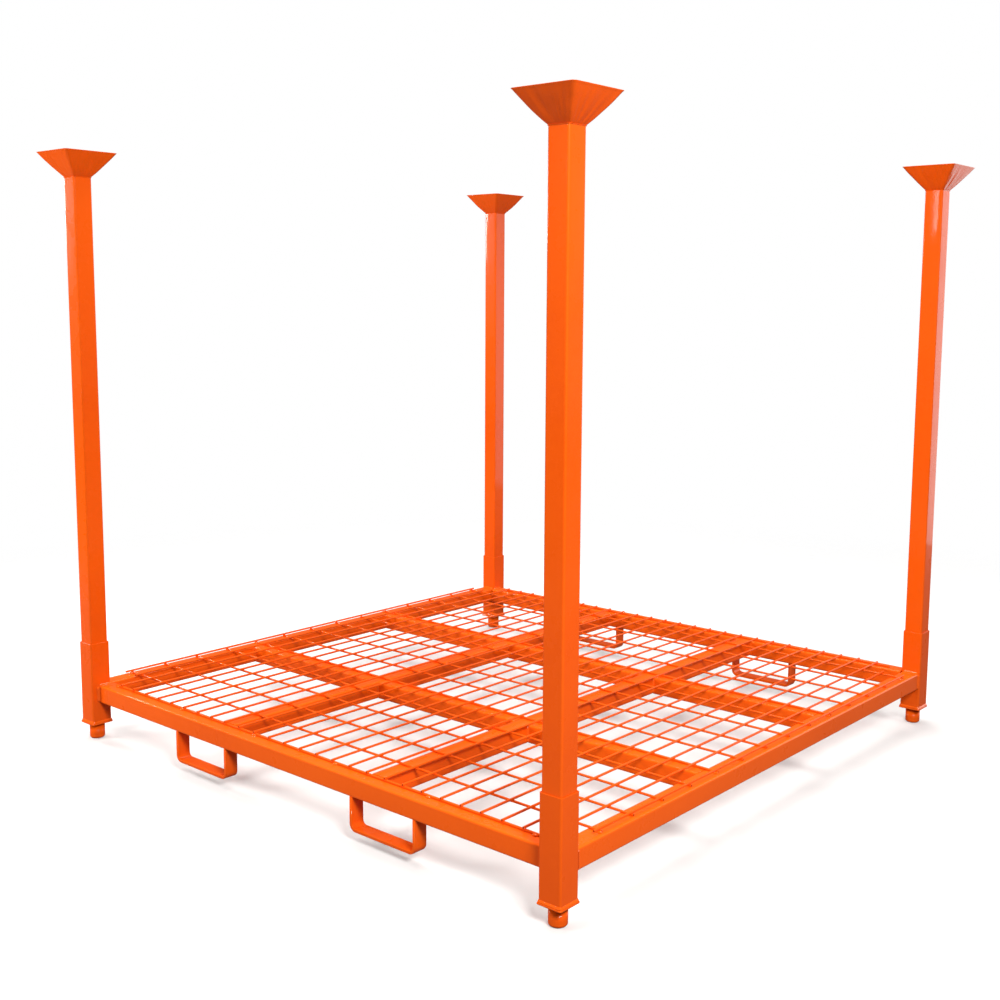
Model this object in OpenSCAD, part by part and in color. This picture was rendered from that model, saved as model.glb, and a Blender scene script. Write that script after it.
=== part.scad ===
// Stackable post rack for storing tyres: a welded base frame with a mesh deck,
// and four posts that lift out of corner sockets and carry stacking cups.
// +Z is up, the front (fork entry) side faces -Y, and the origin is on the
// floor at the middle of the rack.

/* [Rack] */
// Distance between post centres, left to right
span_x = 1740; // [1500:10:2400]
// Distance between post centres, front to back
span_y = 1740; // [1500:10:2400]

/* [Corner sockets] */
// Outside width of the square socket tube
socket_w = 60; // [58:1:62]
// Wall thickness of the socket tube
socket_wall = 2; // [1.5:0.5:2]
// Length of the socket tube above its base plate
socket_h = 235; // [200:5:300]
// Side of the square base plate under each socket
plate_w = 66; // [66:1:80]
// Thickness of the base plate
plate_t = 6; // [4:1:10]

/* [Foot pins] */
// Diameter of the round foot pin
pin_d = 42; // [36:1:44]
// Length of the foot pin below its base plate
pin_h = 46; // [40:1:60]
// Radius that rounds the pin's lower edge
pin_round = 7; // [3:1:10]

/* [Posts] */
// Outside width of the square post tube
post_w = 54; // [50:1:54]
// Wall thickness of the post tube
post_wall = 2; // [1.5:0.5:3]
// Length of the post tube
post_h = 1557; // [1200:1:2000]

/* [Stacking cups] */
// Width across the mouth of the stacking cup
cup_w = 160; // [140:5:180]
// Height of the stacking cup
cup_h = 67; // [55:1:90]
// Thickness of the cup's wall
cup_t = 3; // [2:0.5:4]

/* [Frame tubes] */
// Width and height of the square frame tubes
tube_w = 50; // [46:1:50]
// Wall thickness of the frame tubes
tube_wall = 3; // [2:0.5:4]
// Height of the frame tubes' underside above the floor
tube_z = 112; // [100:1:140]
// Setback of the front and back beams from the socket's outer face
beam_setback = 21; // [12:1:24]

/* [Fork stirrups] */
// Outside width of a stirrup
stirrup_w = 220; // [180:5:260]
// Drop of a stirrup below the beam
stirrup_drop = 84; // [70:1:95]
// Width of the flat bar
stirrup_bar_w = 38; // [30:1:45]
// Thickness of the flat bar
stirrup_bar_t = 8; // [5:1:10]
// Outside radius of the bends
stirrup_r = 20; // [14:1:30]
// Distance of each stirrup's middle from the rack's middle
stirrup_x = 350; // [250:5:450]

/* [Mesh deck] */
// Diameter of the mesh wires
wire_d = 6; // [4:0.5:8]
// Spacing of the line wires, which run front to back
line_pitch = 61; // [45:1:80]
// Spacing of the cross wires, which run left to right
cross_pitch = 115; // [90:1:140]
// Distance from the front edge wire to the first cross wire
first_cross = 103; // [80:1:115]
// Length of wire left standing past an edge wire
wire_tail = 5; // [3:1:15]

/* [Hidden] */
CORNERS = ["front_left", "front_right", "back_left", "back_right"];
HALVES = ["left", "right"];
ENDS = ["front", "back"];
THIRDS = ["left", "middle", "right"];
function named(prefix, places) = [for (place = places) str(prefix, place)];

paint = [0.93, 0.32, 0.06];
paint_dark = [0.80, 0.24, 0.04];
paint_light = [0.98, 0.42, 0.12];

arc_fn = 48;             // facets asked of round stretches; they stay true arcs
cut = 1;                 // how far a cutter runs past the face it opens

plate_z = pin_h;                         // underside of the base plates
socket_z = plate_z + plate_t;            // bottom of the sockets
post_rest = 0.5;                         // paint film that a post stands on
post_z = socket_z + post_rest;           // bottom of the posts
post_top = post_z + post_h;              // where the cups start
tube_top = tube_z + tube_w;
cross_z = tube_top + wire_d / 2;         // axis of the cross wires
line_z = cross_z + wire_d;               // axis of the line wires, lying on the cross wires

tube_r = 5;                              // outside corner radius of the square tubes
socket_x = span_x / 2 - socket_w / 2;    // inner face of the right sockets
socket_y = span_y / 2 - socket_w / 2;    // inner face of the back sockets
beam_y = span_y / 2 + socket_w / 2 - beam_setback - tube_w / 2;  // middle of a beam
side_face_x = span_x / 2 - tube_w / 2;   // inner face of the right side beam
joist_x = span_x / 6;                    // joists and crossties stand at the thirds
crosstie_y = span_y / 6;
joist_len = 2 * beam_y - tube_w;
side_bay = side_face_x - joist_x - tube_w / 2;   // crosstie length beside a joist
mid_bay = 2 * joist_x - tube_w;                  // crosstie length between the joists

edge_x = span_x / 2 + 9;                 // side edge wires, a little outside the post centres
edge_y = beam_y - 9;                     // end edge wires, a little inside the beam's middle
notch_x = socket_x - 40;                 // the mesh is cut back round each socket
notch_y = socket_y - 75;
line_count = floor((2 * edge_x - line_pitch / 2) / line_pitch);
line_xs = [for (i = [1:line_count]) edge_x - i * line_pitch];
cross_count = floor((2 * edge_y - first_cross - cross_pitch / 2) / cross_pitch) + 1;
cross_ys = [for (i = [0:cross_count - 1]) -edge_y + first_cross + i * cross_pitch];

weld_leg = 5;                            // leg of the frame's fillet welds
plate_leg = (plate_w - socket_w) / 2;    // leg of the weld round a socket's foot
cup_leg = 3;                             // leg of the weld under a cup
bead_face = 0.62;                        // where a bead's bulged face stands, as a share of its leg

function corner_sx(i) = i % 2 == 0 ? -1 : 1;
function corner_sy(i) = i < 2 ? -1 : 1;
function side(i) = i == 0 ? -1 : 1;

// ---------- shared shapes ----------

// Square with rounded corners, true arcs
module rounded_square(w, r) {
    square([w - 2 * r, w], center = true);
    square([w, w - 2 * r], center = true);
    for (sx = [-1, 1], sy = [-1, 1])
        translate([sx * (w / 2 - r), sy * (w / 2 - r)]) circle(r = r, $fn = arc_fn);
}

// Square tube standing on the XY plane
module square_tube(w, wall, len) {
    linear_extrude(height = len) difference() {
        rounded_square(w, tube_r);
        rounded_square(w - 2 * wall, tube_r - wall);
    }
}

// Frame tube along X, centred on the origin
module tube_x(len) {
    rotate([0, 90, 0]) translate([0, 0, -len / 2]) square_tube(tube_w, tube_wall, len);
}

// Frame tube along Y, centred on the origin
module tube_y(len) {
    rotate([90, 0, 0]) translate([0, 0, -len / 2]) square_tube(tube_w, tube_wall, len);
}

// Section of a fillet weld in the corner between the lines x = 0 and y = 0
module bead(leg) {
    polygon([[0, 0], [leg, 0], [leg * bead_face, leg * bead_face], [0, leg]]);
}

// Fillet weld that stands along +Z, between the planes x = 0 and y = 0
module upright_bead(len, leg = weld_leg) {
    linear_extrude(height = len) bead(leg);
}

// Fillet weld that lies along -Y, between the planes x = 0 and z = 0
module level_bead(len, leg = weld_leg) {
    rotate([90, 0, 0]) linear_extrude(height = len) bead(leg);
}

// Fillet weld that runs round a square tube where it stands on the XY plane
module bead_ring(w, leg) {
    straight = w - 2 * tube_r;
    for (a = [0:90:270]) rotate([0, 0, a]) {
        translate([w / 2, straight / 2, 0]) level_bead(straight, leg);
        translate([straight / 2, straight / 2, 0]) intersection() {
            rotate_extrude($fn = arc_fn) translate([tube_r, 0]) bead(leg);
            cube(tube_r + leg + cut);
        }
    }
}

// Moves its child to the floor point under corner i
module at_corner(i) {
    translate([corner_sx(i) * span_x / 2, corner_sy(i) * span_y / 2, 0]) children();
}

// Repeats its child, made for the back right quarter, in all four quarters
module in_quarters() {
    for (mx = [0, 1], my = [0, 1]) mirror([mx, 0, 0]) mirror([0, my, 0]) children();
}

// ---------- base: corner parts ----------

// Round foot pin with a rounded lower edge
module foot_pin(i) {
    color(paint_dark) at_corner(i) rotate_extrude($fn = arc_fn) {
        translate([0, pin_round]) square([pin_d / 2, pin_h - pin_round]);
        square([pin_d / 2 - pin_round, pin_h]);
        intersection() {
            translate([pin_d / 2 - pin_round, pin_round]) circle(r = pin_round, $fn = arc_fn);
            square([pin_d / 2, pin_h]);
        }
    }
}

// Square plate that closes the socket and carries the foot pin
module base_plate(i) {
    color(paint) at_corner(i) translate([0, 0, plate_z])
        linear_extrude(height = plate_t) rounded_square(plate_w, 2);
}

// Open tube that the post drops into
module socket(i) {
    color(paint) at_corner(i) translate([0, 0, socket_z])
        square_tube(socket_w, socket_wall, socket_h);
}

// Weld round the foot of a socket, on top of its base plate
module base_weld(i) {
    color(paint_light) at_corner(i) translate([0, 0, socket_z]) bead_ring(socket_w, plate_leg);
}

// ---------- base: frame ----------

// Front or back beam, between two sockets
module beam(i) {
    color(paint) translate([0, side(i) * beam_y, tube_z + tube_w / 2]) tube_x(2 * socket_x);
}

// Side beam, between two sockets
module side_beam(i) {
    color(paint) translate([side(i) * span_x / 2, 0, tube_z + tube_w / 2]) tube_y(2 * socket_y);
}

// Tube that runs front to back under the deck
module joist(i) {
    color(paint_dark) translate([side(i) * joist_x, 0, tube_z + tube_w / 2]) tube_y(joist_len);
}

// One of three tubes in line, left to right, that fill between side beams and joists
module crosstie(end, third) {
    len = third == 1 ? mid_bay : side_bay;
    x = (third - 1) * (joist_x + tube_w / 2 + side_bay / 2);
    color(paint_dark) translate([x, side(end) * crosstie_y, tube_z + tube_w / 2]) tube_x(len);
}

// Outline of a U of width w and depth d whose lower corners have radius r
module u_shape(w, d, r) {
    translate([-w / 2, r - d]) square([w, d - r]);
    translate([r - w / 2, -d]) square([w - 2 * r, d]);
    for (s = [-1, 1]) translate([s * (w / 2 - r), r - d]) circle(r = r, $fn = arc_fn);
}

// Flat bar bent into a U under a beam, flush with its outer face, for one fork of a lift truck
module stirrup(end, half) {
    y = side(end) * (beam_y + tube_w / 2 - stirrup_bar_w / 2);
    color(paint) translate([side(half) * stirrup_x, y + stirrup_bar_w / 2, tube_z])
        rotate([90, 0, 0]) linear_extrude(height = stirrup_bar_w) difference() {
            u_shape(stirrup_w, stirrup_drop, stirrup_r);
            u_shape(stirrup_w - 2 * stirrup_bar_t, stirrup_drop - stirrup_bar_t,
                stirrup_r - stirrup_bar_t);
            translate([-stirrup_w / 2 + stirrup_bar_t, -cut])
                square([stirrup_w - 2 * stirrup_bar_t, 2 * cut]);
        }
}

// ---------- base: mesh deck ----------

// Wire along Y, centred on x at height z
module wire_y(x, len, z) {
    translate([x, 0, z]) rotate([90, 0, 0])
        cylinder(d = wire_d, h = len, center = true, $fn = arc_fn);
}

// Wire along X, centred on y at height z
module wire_x(y, len, z) {
    translate([0, y, z]) rotate([0, 90, 0])
        cylinder(d = wire_d, h = len, center = true, $fn = arc_fn);
}

// Wires that run front to back; those beside a socket stop short of it
module mesh_line_wires() {
    color(paint) for (x = line_xs)
        wire_y(x, abs(x) > notch_x ? 2 * notch_y : 2 * (edge_y + wire_tail), line_z);
}

// Wires that run left to right and lie on the side beams
module mesh_cross_wires() {
    color(paint) for (y = cross_ys) wire_x(y, 2 * (edge_x + wire_tail), cross_z);
}

// Edge wire that lies on the front or back beam
module mesh_end_edge(i) {
    color(paint) wire_x(side(i) * edge_y, 2 * notch_x, cross_z);
}

// Edge wire that lies on the cross wires, over a side beam
module mesh_side_edge(i) {
    color(paint) wire_y(side(i) * edge_x, 2 * notch_y, line_z);
}

// Short welds that hold the end edge wires and the cross wires' tails to the beams
module mesh_tack_welds() {
    tack_len = 12;
    tack_r = 4;
    spots = 5;                           // spaces between the welds on one beam
    color(paint_light) in_quarters() {
        for (k = [1:2:spots]) translate([k * (notch_x - tack_len) / spots, edge_y, tube_top])
            tack(tack_len, tack_r);
        for (y = [cross_ys[0], cross_ys[4]])
            translate([edge_x, -y, tube_top]) tack(tack_len, tack_r);
    }
}

// Weld that lies along X beside a wire: a rounded bead with the wire's own shape cut away
module tack(len, r) {
    translate([-len / 2, 0, 0]) rotate([90, 0, 90]) linear_extrude(height = len) difference() {
        intersection() {
            translate([wire_d / 2, 0]) circle(r = r, $fn = arc_fn);
            square(2 * r + wire_d);
        }
        translate([0, wire_d / 2]) circle(d = wire_d, $fn = arc_fn);
    }
}

// Welds where the four beams meet the sockets: up the outer faces and over the tops
module beam_welds() {
    up = tube_w - 2 * tube_r;
    low = tube_z + tube_r;
    out_y = beam_y + tube_w / 2;
    out_x = span_x / 2 + tube_w / 2;
    lap = tube_r - 1;                    // how far the side weld reaches round the socket's corner
    color(paint_light) in_quarters() {
        translate([socket_x, out_y, low]) mirror([1, 0, 0]) upright_bead(up);
        translate([socket_x, out_y - tube_r, tube_top]) mirror([1, 0, 0])
            level_bead(out_y - 2 * tube_r - socket_y);
        translate([side_face_x + tube_r, socket_y, tube_top]) rotate([0, 0, 90]) mirror([1, 0, 0])
            mirror([0, 1, 0]) level_bead(tube_w - 2 * tube_r);
        translate([0, 0, low]) linear_extrude(height = up) difference() {
            translate([out_x, socket_y - weld_leg]) polygon([[0, 0], [lap * bead_face, weld_leg * 0.4],
                [lap, weld_leg], [lap, weld_leg + tube_r], [0, weld_leg + tube_r]]);
            translate([span_x / 2, span_y / 2]) rounded_square(socket_w, tube_r);
        }
    }
}

// Upright welds where joists and crossties meet the tubes they end on
module joist_welds() {
    up = tube_w - 2 * tube_r;
    low = tube_z + tube_r;
    half = tube_w / 2;
    color(paint_light) in_quarters() for (s = [0, 1]) {
        translate([joist_x, joist_len / 2, low]) mirror([s, 0, 0])
            translate([half, 0, 0]) mirror([0, 1, 0]) upright_bead(up);
        translate([joist_x + half, crosstie_y, low]) mirror([0, s, 0])
            translate([0, half, 0]) upright_bead(up);
        translate([joist_x - half, crosstie_y, low]) mirror([0, s, 0])
            translate([0, half, 0]) mirror([1, 0, 0]) upright_bead(up);
        translate([side_face_x, crosstie_y, low]) mirror([0, s, 0])
            translate([0, half, 0]) mirror([1, 0, 0]) upright_bead(up);
    }
}

// Welds along the outer sides of the stirrups' legs, under the beams
module stirrup_welds() {
    far_y = beam_y + tube_w / 2 - tube_r;
    near_y = beam_y + tube_w / 2 - stirrup_bar_w;
    color(paint_light) in_quarters() for (s = [0, 1])
        translate([stirrup_x, far_y, tube_z]) mirror([s, 0, 0]) translate([stirrup_w / 2, 0, 0])
            mirror([0, 0, 1]) level_bead(far_y - near_y);
}

// ---------- lift-out posts ----------

// Square tube that stands in its socket on the base plate
module post(i) {
    color(paint) at_corner(i) translate([0, 0, post_z]) square_tube(post_w, post_wall, post_h);
}

cup_levels = 6;          // rings up the cup's curved wall
corner_steps = 4;        // facets round each corner of the cup

// The cup's outer wall, seen from the side, is a curve from the post's face to the
// mouth; its middle control point makes the wall a little flatter near the post than above.
foot_point = [post_w / 2, 0];
bend_point = [post_w / 2 + 19, 17];
mouth_point = [cup_w / 2, cup_h];
function cup_point(s) =
    (1 - s) * (1 - s) * foot_point + 2 * s * (1 - s) * bend_point + s * s * mouth_point;
function cup_slope(s) = (1 - s) * (bend_point - foot_point) + s * (mouth_point - bend_point);
function cup_inside(s) =
    let (d = cup_slope(s)) cup_point(s) + cup_t / norm(d) * [-d[1], d[0]];

outer_profile = [for (l = [0:cup_levels]) cup_point(l / cup_levels)];
rim_t = cup_t * norm(cup_slope(1)) / cup_slope(1)[1];
inner_profile = concat(
    [[post_w / 2 - post_wall, 0]],
    [for (l = [0:cup_levels - 1]) cup_inside(l / cup_levels)],
    [[cup_w / 2 - rim_t, cup_h]]);

// Rounded square of half width p[0] at height p[1]; the corners ease outwards as it rises
function cup_ring(p, inset) = [
    for (q = [0:3], s = [0:corner_steps])
        let (
            r = tube_r - inset + 4 * p[1] / cup_h,
            a = 90 * q + 90 * s / corner_steps,
            sx = q == 0 || q == 3 ? 1 : -1,
            sy = q < 2 ? 1 : -1)
        [sx * (p[0] - r) + r * cos(a), sy * (p[0] - r) + r * sin(a), p[1]]];

// Flared four-sided funnel, open at the mouth and down into the post
module stacking_cup(i) {
    n = 4 * (corner_steps + 1);
    outer = [for (p = outer_profile) each cup_ring(p, 0)];
    inner = [for (p = inner_profile) each cup_ring(p, post_wall)];
    m = len(outer);
    top = m - n;
    inner_top = m + len(inner) - n;
    wall_out = [for (l = [0:len(outer_profile) - 2], k = [0:n - 1]) let (k2 = (k + 1) % n)
        [l * n + k, (l + 1) * n + k, (l + 1) * n + k2, l * n + k2]];
    wall_in = [for (l = [0:len(inner_profile) - 2], k = [0:n - 1]) let (k2 = (k + 1) % n)
        [m + l * n + k2, m + (l + 1) * n + k2, m + (l + 1) * n + k, m + l * n + k]];
    rim = [for (k = [0:n - 1]) let (k2 = (k + 1) % n)
        [top + k, inner_top + k, inner_top + k2, top + k2]];
    foot = [for (k = [0:n - 1]) let (k2 = (k + 1) % n) [k2, m + k2, m + k, k]];
    color(paint) at_corner(i) translate([0, 0, post_top])
        polyhedron(points = concat(outer, inner), faces = concat(wall_out, wall_in, rim, foot));
}

// Weld round the top of a post, under its cup
module cup_weld(i) {
    color(paint_light) at_corner(i) translate([0, 0, post_top]) mirror([0, 0, 1])
        bead_ring(post_w, cup_leg);
}

// ---------- nodes ----------

for (i = [0:3]) {
    foot_pin(i);
    base_plate(i);
    socket(i);
    base_weld(i);
    post(i);
    cup_weld(i);
    stacking_cup(i);
}
for (i = [0:1]) {
    beam(i);
    side_beam(i);
    joist(i);
    mesh_end_edge(i);
    mesh_side_edge(i);
    for (t = [0:2])
        crosstie(i, t);
    for (h = [0:1])
        stirrup(i, h);
}
mesh_line_wires();
mesh_cross_wires();
mesh_tack_welds();
beam_welds();
joist_welds();
stirrup_welds();
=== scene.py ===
"""Looks of the stackable tyre rack: painted steel tubes, pressed cups, wire mesh and weld beads
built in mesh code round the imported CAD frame, under plain studio light."""

import math

import bmesh
import bpy
from mathutils import Euler, Matrix, Vector, noise


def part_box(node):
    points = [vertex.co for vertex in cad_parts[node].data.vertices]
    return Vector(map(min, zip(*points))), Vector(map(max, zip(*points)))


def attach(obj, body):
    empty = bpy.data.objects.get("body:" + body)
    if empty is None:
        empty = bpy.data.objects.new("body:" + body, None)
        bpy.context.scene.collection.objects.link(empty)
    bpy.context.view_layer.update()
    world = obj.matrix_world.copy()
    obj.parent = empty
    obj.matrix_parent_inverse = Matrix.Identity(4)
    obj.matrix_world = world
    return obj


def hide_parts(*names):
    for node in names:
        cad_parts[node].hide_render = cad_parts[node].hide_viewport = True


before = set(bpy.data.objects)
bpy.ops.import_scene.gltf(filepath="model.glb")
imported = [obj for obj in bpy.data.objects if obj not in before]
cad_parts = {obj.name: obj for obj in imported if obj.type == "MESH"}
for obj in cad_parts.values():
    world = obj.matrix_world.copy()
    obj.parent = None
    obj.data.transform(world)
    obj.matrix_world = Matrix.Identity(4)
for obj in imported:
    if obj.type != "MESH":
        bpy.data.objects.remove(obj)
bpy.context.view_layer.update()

MM = 0.001
CORNERS = ("front_left", "front_right", "back_left", "back_right")
HALVES = ("left", "right")
ENDS = ("front", "back")
THIRDS = ("left", "middle", "right")

# Thicknesses of the walls, sheet and bar, and the outside radius of the tubes' corners, as in the CAD
SOCKET_WALL = 2 * MM
POST_WALL = 2 * MM
TUBE_WALL = 3 * MM
TUBE_CORNER = 5 * MM
CUP_SHEET = 3 * MM
STIRRUP_BAR = 8 * MM


def turn_angles(steps):
    """Equal steps round a full turn."""
    return [2 * math.pi * k / steps for k in range(steps)]


# ---------- camera, light and floor ----------

WHITE = (1, 1, 1)
WARM_WHITE = (1.0, 0.98, 0.95)


def make_camera():
    """Stands off the front right corner, with its lens below the tops of the posts."""
    data = bpy.data.cameras.new("camera")
    data.sensor_width = 36
    data.lens = 46.1
    data.shift_x = -0.027
    data.shift_y = -0.032
    data.clip_end = 100
    camera = bpy.data.objects.new("camera", data)
    camera.location = (2.436, -2.824, 1.273)
    camera.rotation_euler = Euler([math.radians(a) for a in (82.66, -0.45, 40.40)])
    bpy.context.scene.collection.objects.link(camera)
    bpy.context.scene.camera = camera


def area_light(name, place, aim, size, power, colour=WHITE, glints=True):
    """Rectangular soft light at a place, turned towards aim; without glints, no gloss mirrors it."""
    data = bpy.data.lights.new(name, "AREA")
    data.shape = "RECTANGLE"
    data.size, data.size_y = size
    data.energy = power
    data.color = colour
    light = bpy.data.objects.new(name, data)
    light.location = place
    light.rotation_mode = "QUATERNION"
    light.rotation_quaternion = (Vector(aim) - Vector(place)).to_track_quat("-Z", "Y")
    light.visible_glossy = glints
    bpy.context.scene.collection.objects.link(light)


def make_lights():
    """Key from the right and above, and a wide top light. A low fill and a light behind add no
    glints. Three panels are there for the gloss: front_panel shows in the back right post's front
    face, right_panel in that post's right face, and rim along the front beam's top edge."""
    area_light("key", (3.45, -2.25, 2.9), (0, 0, 0.5), (1.1, 1.1), 206, WARM_WHITE)
    area_light("fill", (-2.55, -3.05, 1.25), (-0.87, -0.87, 0.9), (1.1, 1.2), 90, WARM_WHITE, False)
    area_light("front_panel", (-1.07, -3.9, 1.98), (0.87, 0.87, 1.5), (0.1, 0.42), 2.4)
    area_light("rim", (-3.2, -1.3, 1.75), (-0.8, -0.87, 0.2), (0.5, 0.5), 34)
    area_light("right_panel", (1.95, 3.5, 1.5), (0.9, 0.9, 1.1), (2.2, 3.0), 44)
    area_light("top", (-0.5, 0.5, 5.0), (0, 0, 0), (3.0, 3.0), 190, WARM_WHITE)
    area_light("back", (-2.9, 3.1, 3.0), (0, 0, 0.6), (1.6, 1.6), 85, WARM_WHITE, False)


def make_world():
    """Pale surroundings: a bright plain backdrop, and a weaker even light on the object."""
    even_light = 0.13
    world = bpy.data.worlds.new("studio")
    world.use_nodes = True
    nodes, links = world.node_tree.nodes, world.node_tree.links
    nodes.clear()
    output = nodes.new("ShaderNodeOutputWorld")
    seen = nodes.new("ShaderNodeBackground")
    seen.inputs["Color"].default_value = (1, 1, 1, 1)
    lit = nodes.new("ShaderNodeBackground")
    lit.inputs["Color"].default_value = (1.0, 0.97, 0.93, 1)
    lit.inputs["Strength"].default_value = even_light
    path = nodes.new("ShaderNodeLightPath")
    mix = nodes.new("ShaderNodeMixShader")
    links.new(path.outputs["Is Camera Ray"], mix.inputs["Fac"])
    links.new(lit.outputs["Background"], mix.inputs[1])
    links.new(seen.outputs["Background"], mix.inputs[2])
    links.new(mix.outputs["Shader"], output.inputs["Surface"])
    bpy.context.scene.world = world


def make_floor():
    """Round pale floor that fades into the backdrop well behind the rack. What it throws back on
    the rack is dimmer than what the camera sees."""
    reach = 12.0
    fade_start, fade_end = 1.5, 3.9
    pale_grey, dim_grey = 0.68, 0.12
    mesh = bpy.data.meshes.new("floor")
    rim = [(reach * math.cos(a), reach * math.sin(a), 0) for a in turn_angles(96)]
    mesh.from_pydata(rim, [], [tuple(range(len(rim)))])
    floor = bpy.data.objects.new("floor", mesh)
    bpy.context.scene.collection.objects.link(floor)
    material = bpy.data.materials.new("floor")
    material.use_nodes = True
    nodes, links = material.node_tree.nodes, material.node_tree.links
    pale = nodes["Principled BSDF"]
    pale.inputs["Base Color"].default_value = (pale_grey, pale_grey, pale_grey, 1)
    pale.inputs["Roughness"].default_value = 0.8
    pale.inputs["Specular IOR Level"].default_value = 0.1
    pale.inputs["Emission Color"].default_value = (1, 1, 1, 1)
    pale.inputs["Emission Strength"].default_value = 0.2
    dim = nodes.new("ShaderNodeBsdfDiffuse")
    dim.inputs["Color"].default_value = (dim_grey, dim_grey, dim_grey, 1)
    place = nodes.new("ShaderNodeTexCoord")
    distance = nodes.new("ShaderNodeVectorMath")
    distance.operation = "LENGTH"
    fade = nodes.new("ShaderNodeMapRange")
    fade.interpolation_type = "SMOOTHSTEP"
    fade.inputs["From Min"].default_value = fade_start
    fade.inputs["From Max"].default_value = fade_end
    clear = nodes.new("ShaderNodeBsdfTransparent")
    faded = nodes.new("ShaderNodeMixShader")
    links.new(place.outputs["Object"], distance.inputs[0])
    links.new(distance.outputs["Value"], fade.inputs["Value"])
    links.new(fade.outputs["Result"], faded.inputs["Fac"])
    links.new(pale.outputs["BSDF"], faded.inputs[1])
    links.new(clear.outputs["BSDF"], faded.inputs[2])
    path = nodes.new("ShaderNodeLightPath")
    seen = nodes.new("ShaderNodeMixShader")
    links.new(path.outputs["Is Camera Ray"], seen.inputs["Fac"])
    links.new(dim.outputs["BSDF"], seen.inputs[1])
    links.new(faded.outputs["Shader"], seen.inputs[2])
    links.new(seen.outputs["Shader"], nodes["Material Output"].inputs["Surface"])
    mesh.materials.append(material)


# ---------- painted steel ----------

ORANGE = (0.88, 0.108, 0.004)
# A brighter copy of ORANGE, as painted light: beams and weld beads painted with it look more lit than the
# rest
ORANGE_WITH_PAINTED_LIGHT = (0.98, 0.130, 0.005)
DARK_METAL = (0.09, 0.05, 0.04)
# Painted shade: the dark put on the wires' cut ends
CUT_END_SHADE = (0.12, 0.012, 0.003)

# Fineness of the paint's patterns, in features per metre
BROAD_DRIFT = 2.3
HAZE = 9
WALL_WAVES = 14
CHIP_PATCHES = 16
EDGE_DRIFT = 30
FINE_DRIFT = 55
CHIP_SPECKS = 420
COAT_PEEL = 430
PAINT_PEEL = 620

WAVE_HEIGHT = 0.4 * MM
PAINT_PEEL_HEIGHT = 0.25 * MM
COAT_PEEL_HEIGHT = 0.2 * MM
CHIP_DEPTH = 0.15 * MM


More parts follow.
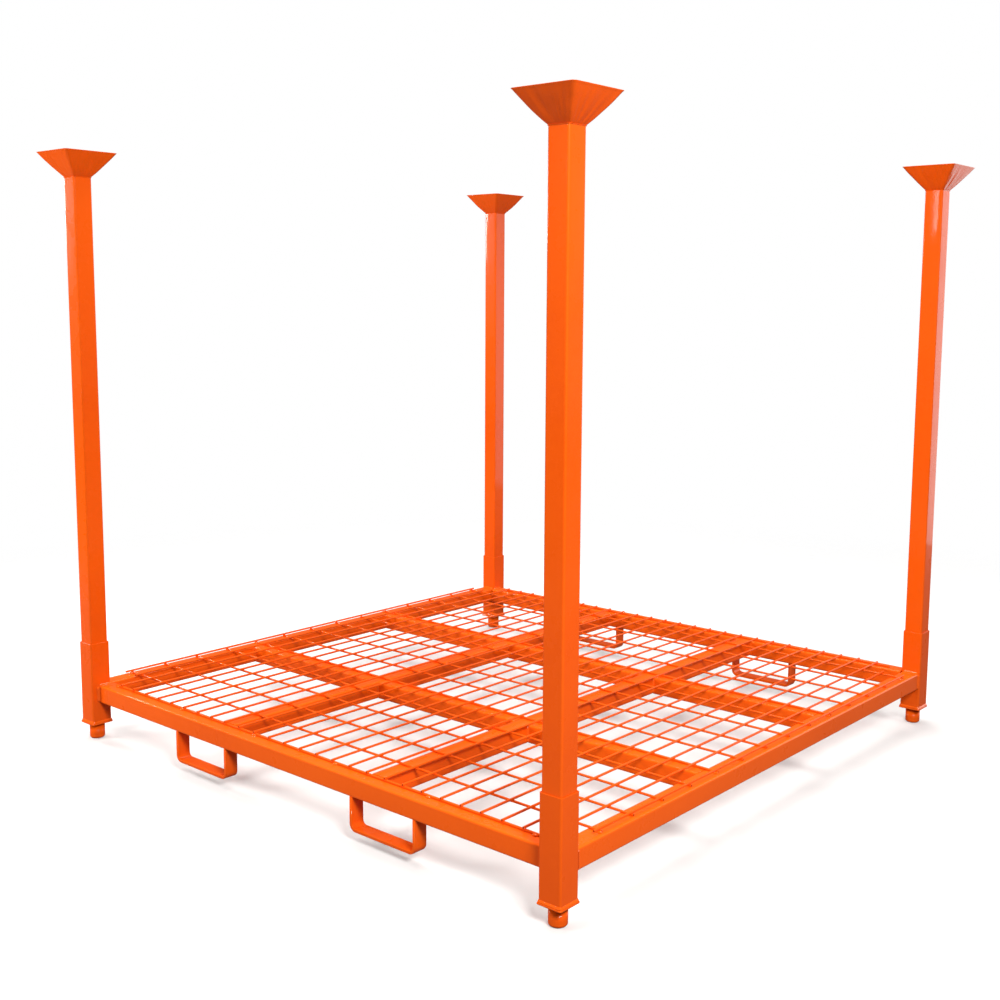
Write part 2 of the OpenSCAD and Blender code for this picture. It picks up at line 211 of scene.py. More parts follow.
def paint_material(name, colour, roughness=0.3, peel=0.10, coat=0.4, chips=0.985):
    """Glossy powder coat over steel. A mark on the mesh's points paints edges lighter, as a painted
    highlight, and where it is strong, small chips of worn paint show the dark metal; chips is the
    mark at which they are strongest. A mark well over 1 is a cut end, painted dark as painted shade."""
    material = bpy.data.materials.new(name)
    material.use_nodes = True
    nodes, links = material.node_tree.nodes, material.node_tree.links
    shader = nodes["Principled BSDF"]
    shader.inputs["IOR"].default_value = 1.5
    shader.inputs["Specular IOR Level"].default_value = 0.08
    shader.inputs["Coat Weight"].default_value = coat
    shader.inputs["Coat Roughness"].default_value = 0.06
    shader.inputs["Coat IOR"].default_value = 1.45
    place = nodes.new("ShaderNodeTexCoord")

    def noise_at(scale, detail, rough=0.5):
        texture = nodes.new("ShaderNodeTexNoise")
        texture.inputs["Scale"].default_value = scale
        texture.inputs["Detail"].default_value = detail
        texture.inputs["Roughness"].default_value = rough
        links.new(place.outputs["Object"], texture.inputs["Vector"])
        return texture.outputs["Fac"]

    def remap(value, low, high, to_low, to_high):
        spread = nodes.new("ShaderNodeMapRange")
        for socket, number in zip(("From Min", "From Max", "To Min", "To Max"),
                                  (low, high, to_low, to_high)):
            spread.inputs[socket].default_value = number
        links.new(value, spread.inputs["Value"])
        return spread.outputs["Result"]

    def math_node(operation, first, second):
        node = nodes.new("ShaderNodeMath")
        node.operation = operation
        for socket, value in zip(node.inputs, (first, second)):
            if isinstance(value, (int, float)):
                socket.default_value = value
            else:
                links.new(value, socket)
        return node.outputs["Value"]

    def mix_colour(share, first, second):
        node = nodes.new("ShaderNodeMix")
        node.data_type = "RGBA"
        links.new(share, node.inputs["Factor"])
        for socket, value in zip((node.inputs["A"], node.inputs["B"]), (first, second)):
            if isinstance(value, tuple):
                socket.default_value = (*value, 1)
            else:
                links.new(value, socket)
        return node.outputs["Result"]

    def bumped(height, strength, distance, under=None):
        node = nodes.new("ShaderNodeBump")
        node.inputs["Strength"].default_value = strength
        node.inputs["Distance"].default_value = distance
        links.new(height, node.inputs["Height"])
        if under is not None:
            links.new(under, node.inputs["Normal"])
        return node.outputs["Normal"]

    # Edge mark of each point: painted highlight on edges, chips of worn paint, painted shade on cut ends
    wear_and_painted_light = nodes.new("ShaderNodeAttribute")
    wear_and_painted_light.attribute_name = "wear_and_painted_light"
    edge = wear_and_painted_light.outputs["Fac"]

    # Colour: broad and fine drifts of the coat's thickness, and a painted highlight, a lighter tone at edges
    deep = tuple(c * s for c, s in zip(colour, (0.90, 0.80, 0.85)))
    bright = tuple(min(1, c * s) for c, s in zip(colour, (1.05, 1.22, 1.5)))
    broad = remap(noise_at(BROAD_DRIFT, 3), 0.3, 0.7, 0, 1)
    fine = remap(noise_at(FINE_DRIFT, 4, 0.6), 0.3, 0.75, 0, 0.45)
    tone = mix_colour(broad, deep, colour)
    tone = mix_colour(fine, tone, colour)
    # Painted highlight: how much lighter each edge is painted
    painted_edge_highlight = math_node("MULTIPLY", edge, remap(noise_at(EDGE_DRIFT, 3), 0.25, 0.75, 0.2, 0.75))
    tone = mix_colour(painted_edge_highlight, tone, bright)

    # Chips of worn paint: sparse specks, only where the edge mask is strong; then painted shade, a dark tone
    # on cut ends
    speck = remap(noise_at(CHIP_SPECKS, 2), 0.66, 0.70, 0, 1)
    patch = remap(noise_at(CHIP_PATCHES, 2), 0.62, 0.70, 0, 1)
    worn = remap(edge, 0.75, chips, 0, 1)
    chip = math_node("MULTIPLY", math_node("MULTIPLY", speck, patch), worn)
    tone = mix_colour(chip, tone, DARK_METAL)
    tone = mix_colour(remap(edge, 1.2, 1.8, 0, 0.75), tone, CUT_END_SHADE)
    links.new(tone, shader.inputs["Base Color"])

    # Roughness: faint handling haze, and dull chips
    haze = remap(noise_at(HAZE, 5, 0.65), 0.35, 0.75, roughness - 0.05, roughness + 0.10)
    links.new(math_node("ADD", haze, math_node("MULTIPLY", chip, 0.3)), shader.inputs["Roughness"])

    # Relief: long soft waves of the tube wall, orange peel, and chip pits
    normal = bumped(noise_at(WALL_WAVES, 2), 0.25, WAVE_HEIGHT)
    normal = bumped(noise_at(PAINT_PEEL, 2), peel, PAINT_PEEL_HEIGHT, normal)
    normal = bumped(chip, 0.5, -CHIP_DEPTH, normal)
    links.new(normal, shader.inputs["Normal"])
    coat_normal = bumped(noise_at(WALL_WAVES, 2), 0.2, WAVE_HEIGHT)
    coat_normal = bumped(noise_at(COAT_PEEL, 1), peel * 0.6, COAT_PEEL_HEIGHT, coat_normal)
    links.new(coat_normal, shader.inputs["Coat Normal"])
    return material


PAINT = paint_material("paint", ORANGE)
# The beams get the brighter orange: painted light, so they look more lit than the sockets
BEAM_PAINT = paint_material("beam_paint", ORANGE_WITH_PAINTED_LIGHT)
POST_PAINT = paint_material("post_paint", ORANGE, roughness=0.28)
WIRE_PAINT = paint_material("wire_paint", ORANGE, roughness=0.34)
# The beads get the brighter orange too, as painted light
WELD_PAINT = paint_material("weld_paint", ORANGE_WITH_PAINTED_LIGHT, roughness=0.2, peel=0.15, coat=0.9)
PIN_PAINT = paint_material("pin_paint", ORANGE, roughness=0.34, chips=0.9)


# ---------- mesh helpers ----------

def skin(rings, close=False):
    """Points and faces over rings of equal length; close joins the last ring to the first."""
    count = len(rings[0])
    spans = len(rings) if close else len(rings) - 1
    faces = []
    for i in range(spans):
        j = (i + 1) % len(rings)
        for k in range(count):
            m = (k + 1) % count
            faces.append((i * count + k, i * count + m, j * count + m, j * count + k))
    return [point for ring in rings for point in ring], faces


def capped(rings):
    """As skin(), with a flat face over each end."""
    points, faces = skin(rings)
    count = len(rings[0])
    last = len(points) - count
    faces.append(tuple(reversed(range(count))))
    faces.append(tuple(range(last, last + count)))
    return points, faces


class Shape:
    """Points, faces and the edge mark for worn paint and painted light, gathered from several solids into one
    piece.
    """

    def __init__(self):
        self.points, self.faces, self.wear_and_painted_light = [], [], []

    def add(self, points, faces, wear_and_painted_light=0.0):
        start = len(self.points)
        self.points += [tuple(p) for p in points]
        self.faces += [tuple(start + k for k in face) for face in faces]
        self.wear_and_painted_light += list(wear_and_painted_light) if hasattr(wear_and_painted_light, "__len__") else [wear_and_painted_light] * len(points)
        return self


def make_piece(name, shape, material, body, nodes=()):
    """A smooth-shaded mesh that rides on a body and stands for CAD nodes."""
    mesh = bpy.data.meshes.new(name)
    mesh.from_pydata(shape.points, [], shape.faces)
    edit = bmesh.new()
    edit.from_mesh(mesh)
    bmesh.ops.recalc_face_normals(edit, faces=edit.faces)
    edit.to_mesh(mesh)
    edit.free()
    mesh.polygons.foreach_set("use_smooth", [True] * len(mesh.polygons))
    # The edge mark goes to the paint: chips of worn paint, painted highlights on edges, painted shade on cut
    # ends
    wear_and_painted_light = mesh.attributes.new("wear_and_painted_light", "FLOAT", "POINT")
    wear_and_painted_light.data.foreach_set("value", shape.wear_and_painted_light)
    mesh.materials.append(material)
    piece = bpy.data.objects.new(name, mesh)
    bpy.context.scene.collection.objects.link(piece)
    flat = piece.modifiers.new("flat_faces", "WEIGHTED_NORMAL")
    flat.weight = 80
    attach(piece, body)
    if nodes:
        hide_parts(*nodes)


def middle(node):
    low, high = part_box(node)
    return (low + high) / 2


def body_of_post(corner):
    return "lift_post_" + corner


def quarters():
    """The four signs of x and y, for what repeats in each quarter of the base."""
    return [(sx, sy) for sx in (-1, 1) for sy in (-1, 1)]


# ---------- square tubes ----------

CORNER_STEPS = 6
SIDE_STEPS = 6


def square_outline(half, radius, bow=0.0, side_steps=SIDE_STEPS, corner_highlight=0.55):
    """Square with round corners, and sides that bow out by bow at the middle, with the painted
    highlight of each point, which is highest at the corners' middles."""
    centre = half - radius
    outline, wear_and_painted_light = [], []
    for quarter in range(4):
        turn = Matrix.Rotation(quarter * math.pi / 2, 2)
        for step in range(CORNER_STEPS + 1):
            angle = math.pi / 2 * step / CORNER_STEPS
            outline.append(turn @ Vector((centre + radius * math.cos(angle),
                                          centre + radius * math.sin(angle))))
            wear_and_painted_light.append(corner_highlight * math.sin(2 * angle))
        for step in range(1, side_steps):
            x = centre * (1 - 2 * step / side_steps)
            outline.append(turn @ Vector((x, half + bow * (1 - (x / centre) ** 2))))
            wear_and_painted_light.append(0.0)
    return outline, wear_and_painted_light


AXES = {
    "x": lambda u, v, w: Vector((w, u, v)),
    "y": lambda u, v, w: Vector((v, w, u)),
    "z": lambda u, v, w: Vector((u, v, w)),
}


def rim_plan(half, wall, place, inward, edge):
    """Eased rim of a tube's end, from the outside to the bore: half width, corner radius, place
    along the tube, and the edge mark for worn paint and painted highlight."""
    bore = half - wall
    bore_corner = TUBE_CORNER - wall
    return [
        (half, TUBE_CORNER, place + inward * edge, 0.5),
        (half - 0.3 * edge, TUBE_CORNER - 0.3 * edge, place + inward * 0.3 * edge, 1.0),
        (half - edge, TUBE_CORNER - edge, place, 1.0),
        (bore + 0.5 * edge, bore_corner + 0.5 * edge, place, 0.8),
        (bore, bore_corner, place + inward * 0.5 * edge, 0.3),
    ]


def tube_shape(node, axis, wall):
    """Hollow square tube in a CAD tube's box, with eased rims and faintly bowed outer sides."""
    bow = 0.12 * MM
    edge = 0.7 * MM
    low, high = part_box(node)
    along = "xyz".index(axis)
    half = (high - low)[(along + 1) % 3] / 2
    centre = (low + high) / 2
    centre[along] = 0
    plan = rim_plan(half, wall, low[along], 1, edge)[::-1] + rim_plan(half, wall, high[along], -1, edge)
    bore = half - wall
    rings, wear_and_painted_light = [], []
    for ring_half, radius, place, worn in plan:
        outline, corner_highlight = square_outline(ring_half, radius, bow if ring_half > bore + edge else 0)
        rings.append([AXES[axis](u, v, place) + centre for u, v in outline])
        wear_and_painted_light += [max(worn, c) for c in corner_highlight] if worn > 0.6 else corner_highlight
    points, faces = skin(rings, close=True)
    return Shape().add(points, faces, wear_and_painted_light)


def make_tubes():
    for corner in CORNERS:
        make_piece("painted_socket_" + corner, tube_shape("socket_" + corner, "z", SOCKET_WALL),
                   PAINT, "base", ["socket_" + corner])
        make_piece("painted_post_" + corner, tube_shape("post_" + corner, "z", POST_WALL),
                   POST_PAINT, body_of_post(corner), ["post_" + corner])
    for end in ENDS:
        make_piece("painted_beam_" + end, tube_shape("beam_" + end, "x", TUBE_WALL),
                   BEAM_PAINT, "base", ["beam_" + end])
        for third in THIRDS:
            name = f"crosstie_{end}_{third}"
            make_piece("painted_" + name, tube_shape(name, "x", TUBE_WALL), BEAM_PAINT, "base", [name])
    for half in HALVES:
        for kind in ("side_beam_", "joist_"):
            make_piece("painted_" + kind + half, tube_shape(kind + half, "y", TUBE_WALL),
                       BEAM_PAINT, "base", [kind + half])


# ---------- feet ----------

TURNED_STEPS = 48
PIN_ROUND_STEPS = 8

# Eased edge of a base plate, from the bottom up: how far in from its side, and how high, in mm
PLATE_EDGE = ((2.0, 0), (0.8, 0.4), (0.1, 1.4), (0, 2.4), (0.1, 3.4), (0.6, 4.6), (1.5, 5.5), (2.8, 6.0))
PLATE_CORNER = 4.5 * MM


def turned_shape(profile, centre):
    """Solid of revolution about a vertical axis through centre; profile is (radius, height, edge mark
    for worn paint and painted highlight).
    """
    rings, wear_and_painted_light = [], []
    for radius, height, worn in profile:
        rings.append([Vector((centre.x + radius * math.cos(a), centre.y + radius * math.sin(a), height))
                      for a in turn_angles(TURNED_STEPS)])
        wear_and_painted_light += [worn] * TURNED_STEPS
    points, faces = capped(rings)
    return Shape().add(points, faces, wear_and_painted_light)


def foot_pin_shape(corner):
    """Round pin whose lower edge is rounded, worn, and painted lighter as a painted highlight."""
    round_off = 7 * MM
    worn_height = 14 * MM
    low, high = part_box("foot_pin_" + corner)
    radius = (high.x - low.x) / 2
    profile = []
    for step in range(PIN_ROUND_STEPS + 1):
        share = step / PIN_ROUND_STEPS
        angle = math.pi / 2 * share
        profile.append((radius - round_off + round_off * math.sin(angle),
                        low.z + round_off * (1 - math.cos(angle)), 1.0 - 0.5 * share))
    profile.append((radius, low.z + worn_height, 0.1))
    profile.append((radius, high.z, 0.0))
    return turned_shape(profile, (low + high) / 2)


def base_plate_shape(corner):
    """Square plate with an eased edge, painted lighter as a painted highlight where it stands out furthest.
    """
    low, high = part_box("base_plate_" + corner)
    centre = (low + high) / 2
    half = (high.x - low.x) / 2
    rings, wear_and_painted_light = [], []
    for inset, height in PLATE_EDGE:
        outline, _ = square_outline(half - inset * MM, PLATE_CORNER)
        z = low.z + height * MM
        rings.append([Vector((centre.x + u, centre.y + v, z)) for u, v in outline])
        wear_and_painted_light += [0.7 if inset < 1 else 0.3] * len(outline)
    points, faces = capped(rings)
    return Shape().add(points, faces, wear_and_painted_light)


def make_feet():
    for corner in CORNERS:
        make_piece("painted_foot_pin_" + corner, foot_pin_shape(corner), PIN_PAINT, "base",
                   ["foot_pin_" + corner])
        make_piece("painted_base_plate_" + corner, base_plate_shape(corner), PAINT, "base",
                   ["base_plate_" + corner])


# ---------- fork stirrups ----------

BEND_RADIUS = 16 * MM       # of the bar's centreline
BEND_STEPS = 10


def stirrup_path(reach, floor, top):
    """Centreline down the left leg, along the floor and up the right leg: x, z and the outward
    direction at each point. reach is half the span between the legs' centrelines."""
    straight = reach - BEND_RADIUS
    path = [(-reach, top, (-1, 0))]
    for side, start in ((-1, 0), (1, math.pi / 2)):
        for step in range(BEND_STEPS + 1):
            angle = start + math.pi / 2 * step / BEND_STEPS
            out = (-math.cos(angle), -math.sin(angle))
            path.append((side * straight + BEND_RADIUS * out[0],
                         floor + BEND_RADIUS + BEND_RADIUS * out[1], out))
    path.append((reach, top, (1, 0)))
    return path


def bar_section(half_width, half_depth):
    """Outline of a flat bar with eased corners: place across, place outward, and the edge mark for
    worn paint and painted highlight.
    """
    ease = 1.3 * MM
    section = []
    for across, outward, start in ((-1, -1, 180), (1, -1, 270), (1, 1, 0), (-1, 1, 90)):
        for step in range(4):
            angle = math.radians(start + 30 * step)
            section.append((across * (half_width - ease) + ease * math.cos(angle),
                            outward * (half_depth - ease) + ease * math.sin(angle),
                            0.85 if step in (1, 2) else 0.3))
    return section


def stirrup_shape(node):
    low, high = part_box(node)
    centre = (low + high) / 2
    reach = (high.x - low.x - STIRRUP_BAR) / 2
    section = bar_section((high.y - low.y) / 2, STIRRUP_BAR / 2)
    rings, wear_and_painted_light = [], []
    for x, z, (out_x, out_z) in stirrup_path(reach, low.z + STIRRUP_BAR / 2, high.z):
        rings.append([Vector((centre.x + x + out_x * n, centre.y + y, z + out_z * n))
                      for y, n, _ in section])
        wear_and_painted_light += [worn for _, _, worn in section]
    points, faces = capped(rings)
    return Shape().add(points, faces, wear_and_painted_light)


def make_stirrups():
    for end in ENDS:
        for half in HALVES:
            node = f"stirrup_{end}_{half}"
            make_piece("painted_" + node, stirrup_shape(node), PAINT, "base", [node])


# ---------- wire mesh ----------

MESH_NODES = ("mesh_line_wires", "mesh_cross_wires",
              "mesh_edge_front", "mesh_edge_back", "mesh_edge_left", "mesh_edge_right")
WIRE_STEPS = 14             # points round a wire
WIRE_SPAN = 60 * MM         # length between a wire's rings
WIRE_DRIFT = 0.8 * MM       # most that a wire wanders sideways
WIRE_WANDERS = 2.2          # how many times it does so in a metre
WIRE_SHEAR = 0.8 * MM       # length of the taper at its sheared ends
NUGGET_STEPS = 10
NUGGET_LEVELS = 6


def add_wire(shape, start, end, radius, seed):
    """Round wire from start to end that wanders a little sideways, with sheared ends."""
    along = (end - start).normalized()
    up = Vector((0, 0, 1))
    side = along.cross(up)
    length = (end - start).length
    spans = max(2, round(length / WIRE_SPAN))
    places = [0, WIRE_SHEAR] + [length * k / spans for k in range(1, spans)] + [length - WIRE_SHEAR, length]
    rings, wear_and_painted_light = [], []
    for place in places:
        wander = WIRE_DRIFT * noise.noise(Vector((place * WIRE_WANDERS, seed * 7.3, 0.5)))
        tip = place in (0, length)
        r = radius * 0.82 if tip else radius
        centre = start + along * place + side * wander
        rings.append([centre + side * (r * math.cos(a)) + up * (r * math.sin(a))
                      for a in turn_angles(WIRE_STEPS)])
        # The tips are marked to be painted dark, as painted shade; the rest of the wire a little lighter, as
        # a painted highlight
        wear_and_painted_light += [2.0 if tip else 0.15] * WIRE_STEPS
    points, faces = capped(rings)
    shape.add(points, faces, wear_and_painted_light)


def solids_of(node):
    """Boxes of a CAD node's separate solids in order of place, found from the links between
    its faces."""
    edit = bmesh.new()
    edit.from_mesh(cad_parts[node].data)
    bmesh.ops.remove_doubles(edit, verts=edit.verts, dist=0.01 * MM)
    seen, boxes = set(), []
    for vert in edit.verts:
        if vert in seen:
            continue
        group, queue = [], [vert]
        seen.add(vert)
        while queue:
            v = queue.pop()
            group.append(v.co)
            for e in v.link_edges:
                other = e.other_vert(v)
                if other not in seen:
                    seen.add(other)
                    queue.append(other)
        boxes.append((Vector([min(c[k] for c in group) for k in range(3)]),
                      Vector([max(c[k] for c in group) for k in range(3)])))
    edit.free()
    return sorted(boxes, key=lambda box: tuple(box[0]))


def wire_line(low, high):
    """Ends of the centreline of the wire that fills a box, and its radius."""
    size = high - low
    along = 0 if size.x > size.y else 1
    start, end = (low + high) / 2, (low + high) / 2
    start[along], end[along] = low[along], high[along]
    return start, end, size.z / 2


def add_nugget(shape, centre, spread, height):
    """Squashed round blob where two wires are fused."""
    rings = []
    for level in range(1, NUGGET_LEVELS):
        tilt = math.pi * level / NUGGET_LEVELS - math.pi / 2
        rings.append([centre + Vector((spread * math.cos(tilt) * math.cos(a),
                                       spread * math.cos(tilt) * math.sin(a),
                                       height * math.sin(tilt)))
                      for a in turn_angles(NUGGET_STEPS)])
    points, faces = capped(rings)
    shape.add(points, faces, 0.1)


def make_mesh_deck():
    """The wires of each node, and a nugget wherever an upper wire crosses a lower one."""
    wires = []
    for node in MESH_NODES:
        shape = Shape()
        for low, high in solids_of(node):
            wires.append(wire_line(low, high))
            add_wire(shape, *wires[-1], len(wires))
        make_piece("painted_" + node, shape, WIRE_PAINT, "base", [node])
    uppers = [wire for wire in wires if abs(wire[0].x - wire[1].x) < MM]
    lowers = [wire for wire in wires if abs(wire[0].y - wire[1].y) < MM]
    joints = Shape()
    for upper_start, upper_end, radius in uppers:
        for lower_start, lower_end, _ in lowers:
            x, y = upper_start.x, lower_start.y
            if lower_start.x < x < lower_end.x and upper_start.y < y < upper_end.y:
                add_nugget(joints, Vector((x, y, upper_start.z - radius)), radius * 1.15, radius * 0.75)
    make_piece("mesh_crossing_welds", joints, WIRE_PAINT, "base")


# ---------- weld beads ----------

RIPPLE = 4.6 * MM               # length of one ripple of a bead
RING_SPACING = RIPPLE / 6
BEAD_STEPS = 8                  # steps across a bead, from one wall to the other
BEAD_FLATNESS = 1.65            # of its face: 1 is a quarter circle, and 2 is flat
BEAD_TAPER = 5.5 * MM           # length over which an open bead swells to its full size
BEAD_TIP = 0.8 * MM             # how far along that taper its end already is
LUMP_FINENESS = 90              # of a bead's unevenness, in lumps per metre
LOOP_CORNER_STEPS = 12
DAB_STEPS = 20
DAB_LEVELS = 6


def add_bead(shape, path, leg, seed, closed=False):
    """Rippled fillet along a path of (root point, direction up one wall, direction up the other)."""
    lengths = [0.0]
    for (a, _, _), (b, _, _) in zip(path, path[1:]):
        lengths.append(lengths[-1] + (b - a).length)
    total = lengths[-1] + ((path[0][0] - path[-1][0]).length if closed else 0)
    ripples = max(1, round(total / RIPPLE))
    rings, wear_and_painted_light = [], []
    for (root, first, second), place in zip(path, lengths):
        from_end = min(place, total - place)
        full_leg = leg if closed else leg * min(1, (from_end + BEAD_TIP) / BEAD_TAPER) ** 0.5
        ring = [root]
        for step in range(BEAD_STEPS + 1):
            angle = math.pi / 2 * step / BEAD_STEPS
            lag = 0.35 * math.sin(2 * angle)
            wave = math.cos(2 * math.pi * (ripples * place / total - lag))
            lumps = noise.noise(Vector((place * LUMP_FINENESS, seed * 3.1, step * 0.25)))
            size = full_leg * (0.94 + 0.035 * wave + 0.10 * lumps)
            ring.append(root + first * (size * math.cos(angle) ** BEAD_FLATNESS)
                        + second * (size * math.sin(angle) ** BEAD_FLATNESS))
        rings.append(ring)
        # Ripple crests are painted a little lighter, as a painted highlight
        crest = max(0, math.cos(2 * math.pi * ripples * place / total))
        wear_and_painted_light += [0.0] + [0.12 + 0.25 * crest] * (BEAD_STEPS + 1)
    points, faces = skin(rings, close=True) if closed else capped(rings)
    shape.add(points, faces, wear_and_painted_light)


def add_straight_bead(shape, start, end, first, second, leg, seed):
    """Open bead from start to end; first and second lead up its two walls."""
    start, end = Vector(start), Vector(end)
    count = max(4, round((end - start).length / RING_SPACING))
    path = [(start.lerp(end, k / count), Vector(first), Vector(second)) for k in range(count + 1)]
    add_bead(shape, path, leg, seed)


def loop_path(centre, half, z_way):
    """Path round a square tube, level with centre. A bead on it spreads outwards, and along the
    tube's faces by z_way."""
    side = half - TUBE_CORNER
    count = round(2 * side / RING_SPACING)
    up_tube = Vector((0, 0, z_way))
    path = []
    for quarter in range(4):
        turn = Matrix.Rotation(quarter * math.pi / 2, 3, "Z")
        for k in range(count):
            start = turn @ Vector((half, -side + 2 * side * k / count, 0))
            path.append((centre + start, turn @ Vector((1, 0, 0)), up_tube))
        for k in range(LOOP_CORNER_STEPS):
            angle = math.pi / 2 * k / LOOP_CORNER_STEPS
            out = turn @ Vector((math.cos(angle), math.sin(angle), 0))
            corner = turn @ Vector((side, side, 0))
            path.append((centre + corner + out * TUBE_CORNER, out, up_tube))
    return path


def make_loop_welds():
    """A bead round each socket on its base plate, and one round each post's top under its cup."""
    base_leg, cup_leg = 2.8 * MM, 2.3 * MM
    base_rise = 1.9             # a base bead reaches this many times as far up as out
    above_post = 0.3 * MM
    for index, corner in enumerate(CORNERS):
        low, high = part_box("socket_" + corner)
        foot = middle("socket_" + corner)
        foot.z = low.z
        shape = Shape()
        add_bead(shape, loop_path(foot, (high.x - low.x) / 2, base_rise), base_leg, index, closed=True)
        make_piece("bead_base_weld_" + corner, shape, WELD_PAINT, "base", ["base_weld_" + corner])
        low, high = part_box("post_" + corner)
        top = middle("post_" + corner)
        top.z = high.z + above_post
        shape = Shape()
        add_bead(shape, loop_path(top, (high.x - low.x) / 2, -1), cup_leg, index + 10, closed=True)
        make_piece("bead_cup_weld_" + corner, shape, WELD_PAINT, body_of_post(corner),
                   ["cup_weld_" + corner])


def make_beam_welds():
    """Beads up the outer face, along the top and along the bottom of each outer beam's end, on
    the sockets' faces."""
    beam_leg = 7 * MM
    side_leg = 4.4 * MM         # the side beams stand only 5 mm in from the sockets' faces
    side_spread = 1.6           # their upright beads reach this many times as far in as out
    flat_leg = 4 * MM
    round_in = 2 * MM
    beam_low, beam_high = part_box("beam_back")
    side_low, side_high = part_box("side_beam_right")
    socket_low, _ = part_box("socket_back_right")
    top, bottom = beam_high.z, beam_low.z
    flats = ((top, 1), (bottom, -1))
    shape = Shape()
    for number, (sx, sy) in enumerate(quarters()):
        end_x, outer_y, inner_y = beam_high.x * sx, beam_high.y * sy, socket_low.y * sy
        back = (-sx, 0, 0)
        add_straight_bead(shape, (end_x, outer_y, bottom + round_in), (end_x, outer_y, top - round_in),
                          back, (0, sy, 0), beam_leg, number)
        for z, way in flats:
            add_straight_bead(shape, (end_x, outer_y - sy * round_in, z), (end_x, inner_y, z),
                              back, (0, 0, way), flat_leg, number + 4)
        end_y, outer_x, inner_x = side_high.y * sy, side_high.x * sx, side_low.x * sx
        add_straight_bead(shape, (outer_x, end_y, bottom + round_in), (outer_x, end_y, top - round_in),
                          (0, -side_spread * sy, 0), (sx, 0, 0), side_leg, number + 8)
        for z, way in flats:
            add_straight_bead(shape, (outer_x - sx * round_in, end_y, z), (inner_x + sx * round_in, end_y, z),
                              (0, -sy, 0), (0, 0, way), flat_leg, number + 12)
    make_piece("bead_beam_welds", shape, WELD_PAINT, "base", ["beam_welds"])


def make_joist_welds():
    """Upright beads where joists and crossties end on other tubes."""
    leg = 5 * MM
    margin = 3 * MM
    joist_low, joist_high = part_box("joist_right")
    tie_low, tie_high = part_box("crosstie_back_right")
    bottom, top = joist_low.z + margin, joist_high.z - margin
    # Place in the back right quarter, and which way its walls lead in x and y
    spots = [(joist_low.x, joist_high.y, -1, -1), (joist_high.x, joist_high.y, 1, -1)]
    for y, way in ((tie_low.y, -1), (tie_high.y, 1)):
        spots += [(joist_high.x, y, 1, way), (joist_low.x, y, -1, way), (tie_high.x, y, -1, way)]
    shape = Shape()
    seed = 20
    for sx, sy in quarters():
        for x, y, x_way, y_way in spots:
            seed += 1
            add_straight_bead(shape, (x * sx, y * sy, bottom), (x * sx, y * sy, top),
                              (x_way * sx, 0, 0), (0, y_way * sy, 0), leg, seed)
    make_piece("bead_joist_welds", shape, WELD_PAINT, "base", ["joist_welds"])


def make_stirrup_welds():
    """Beads along both sides of each stirrup leg, under its beam."""
    leg = 4.5 * MM
    margin = 3 * MM
    shape = Shape()
    seed = 60
    for end in ENDS:
        for half in HALVES:
            low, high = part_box(f"stirrup_{end}_{half}")
            sides = ((low.x, -1), (high.x, 1), (low.x + STIRRUP_BAR, 1), (high.x - STIRRUP_BAR, -1))
            for x, way in sides:
                seed += 1
                add_straight_bead(shape, (x, low.y + margin, high.z), (x, high.y - margin, high.z),
                                  (way, 0, 0), (0, 0, -1), leg, seed)
    make_piece("bead_stirrup_welds", shape, WELD_PAINT, "base", ["stirrup_welds"])


def make_tack_welds():
    """Short rounded dabs where the mesh is fixed to the beams."""
    shape = Shape()
    for number, (low, high) in enumerate(solids_of("mesh_tack_welds")):
        centre = (low + high) / 2
        centre.z = low.z
        size = high - low
        rings = []
        for level in range(DAB_LEVELS):
            tilt = math.pi / 2 * level / DAB_LEVELS
            ring = []
            for a in turn_angles(DAB_STEPS):
                place = Vector((math.cos(a) * 1.3, math.sin(a) * 1.3, number * 1.7 + level * 0.2))
                lump = 1 + 0.22 * noise.noise(place)
                ring.append(centre + Vector((size.x * 0.62 * math.cos(tilt) * math.cos(a) * lump,
                                             size.y * 0.75 * math.cos(tilt) * math.sin(a) * lump,
                                             size.z * 1.15 * math.sin(tilt))))
            rings.append(ring)
        points, faces = capped(rings)
        shape.add(points, faces, 0.2)
    make_piece("bead_tack_welds", shape, WELD_PAINT, "base", ["mesh_tack_welds"])


# ---------- stacking cups ----------

CUP_LEVELS = 30
CUP_SIDE_STEPS = 40
CUP_BEND = Vector((19 * MM, 17 * MM))       # out and up from the post, to the curve's control point
CUP_CORNER_GROWTH = 4 * MM                  # how much the corners' radius grows up to the mouth


def cup_profile(foot, mouth):
    """Half widths and heights up the outside, over the lip and down the inside of a cup, with
    the share of the way up and the edge mark at each, for worn paint and painted highlight. The
    wall is flatter near the post than above."""
    bend = foot + CUP_BEND
    outer, inner = [], []
    for level in range(CUP_LEVELS + 1):
        s = level / CUP_LEVELS
        point = foot * (1 - s) ** 2 + bend * (2 * s * (1 - s)) + mouth * s ** 2
        slope = ((bend - foot) * (1 - s) + (mouth - bend) * s).normalized()
        outer.append((point.x, point.y, s, 0.1))
        inward = point + Vector((-slope.y, slope.x)) * CUP_SHEET
        inner.append((inward.x, inward.y, s, 0.1))
    lip = [(mouth.x, mouth.y - 0.9 * MM, 1, 0.7), (mouth.x - 0.3 * MM, mouth.y - 0.3 * MM, 1, 1.0),
           (mouth.x - 1.2 * MM, mouth.y, 1, 1.0), (mouth.x - CUP_SHEET, mouth.y - 0.3 * MM, 1, 1.0)]
    return outer[:-1] + lip + inner[-2::-1] + [(foot.x - POST_WALL, 0, 0, 0.1)]


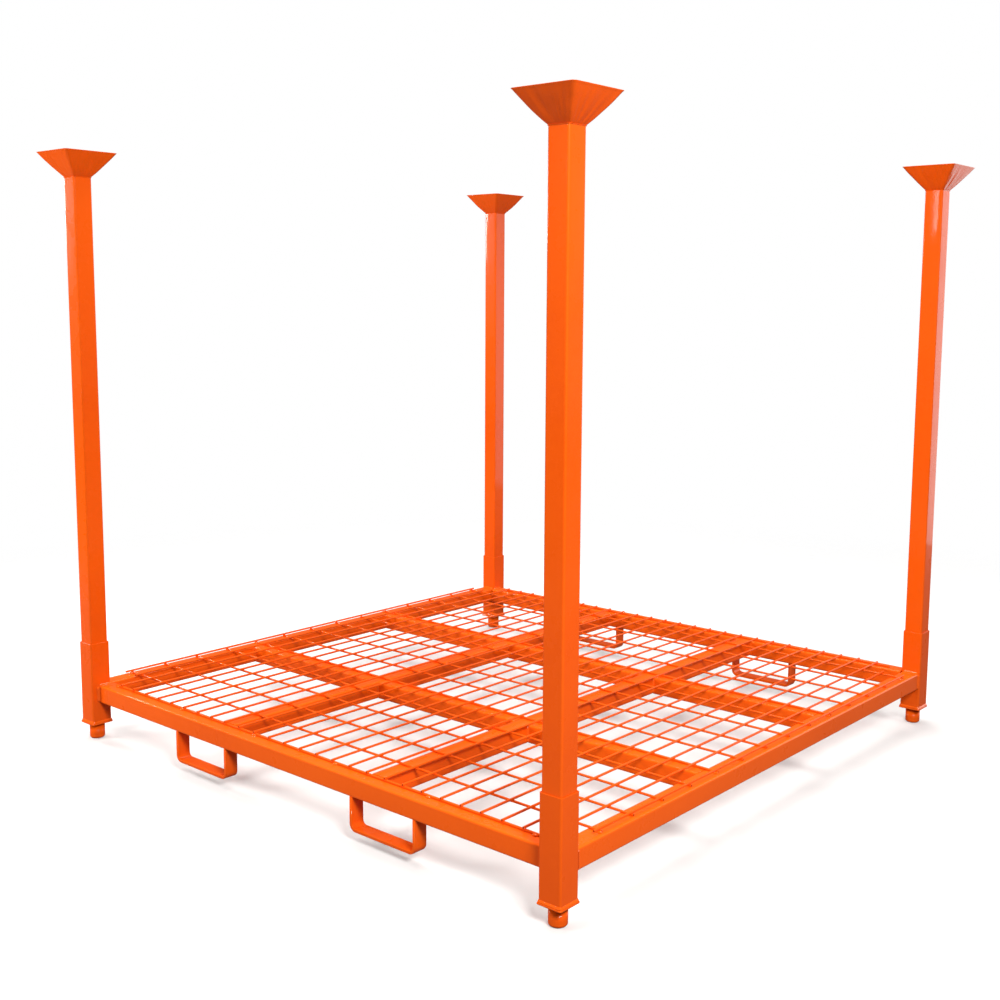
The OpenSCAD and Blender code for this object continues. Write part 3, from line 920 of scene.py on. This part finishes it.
def pressing_marks(point, half, share, seed):
    """How far the sheet is pushed in at a point of the outline, a share of the way up: flutes
    that fan out from the post, fine lines, shallow dents, and a wavy lip."""
    even, flute_depth, fine_depth, dent_depth, lip_depth = 0.9, 1.6, 0.15, 1.1, 0.45     # in mm
    lip_start = 0.8
    across = Vector((point.x / half, point.y / half))

    def marks(at, fineness, layer):
        return noise.noise(Vector((at.x * fineness, at.y * fineness, layer)))

    flutes = marks(across, 5.2, seed * 4.7 + share * 0.9)
    fine = marks(across, 17, seed * 2.3 + share * 1.2)
    dents = marks(point, 28, seed * 9.1 + share * 1.5)
    lip_waves = 1 + marks(across, 9, seed * 3.3)
    rise = math.sin(math.pi * min(1, share * 0.9 + 0.05))
    depth = (even + flute_depth * flutes + fine_depth * fine + dent_depth * dents) * rise
    lip = lip_depth * lip_waves * max(0, share - lip_start) / (1 - lip_start)
    return max(0, depth + lip) * MM


def cup_shape(corner):
    low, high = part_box("stacking_cup_" + corner)
    centre = (low + high) / 2
    post_low, post_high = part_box("post_" + corner)
    foot = Vector(((post_high.x - post_low.x) / 2, 0))
    mouth = Vector(((high.x - low.x) / 2, high.z - low.z))
    seed = CORNERS.index(corner)
    rings, wear_and_painted_light = [], []
    for half, height, share, worn in cup_profile(foot, mouth):
        radius = TUBE_CORNER + CUP_CORNER_GROWTH * share if half >= foot.x else TUBE_CORNER - POST_WALL
        # Cup corners are painted a little lighter, as a painted highlight
        outline, corner_highlight = square_outline(half, radius, side_steps=CUP_SIDE_STEPS, corner_highlight=0.4)
        ring = []
        for point in outline:
            push = 1 - pressing_marks(point, half, share, seed) / half
            ring.append(Vector((centre.x + point.x * push, centre.y + point.y * push, low.z + height)))
        rings.append(ring)
        wear_and_painted_light += [max(worn, c) for c in corner_highlight]
    points, faces = skin(rings, close=True)
    return Shape().add(points, faces, wear_and_painted_light)


def make_cups():
    for corner in CORNERS:
        make_piece("pressed_cup_" + corner, cup_shape(corner), POST_PAINT, body_of_post(corner),
                   ["stacking_cup_" + corner])


make_camera()
make_world()
make_lights()
make_floor()
make_tubes()
make_feet()
make_stirrups()
make_mesh_deck()
make_loop_welds()
make_beam_welds()
make_joist_welds()
make_stirrup_welds()
make_tack_welds()
make_cups()
bpy.context.scene.view_settings.view_transform = "Standard"
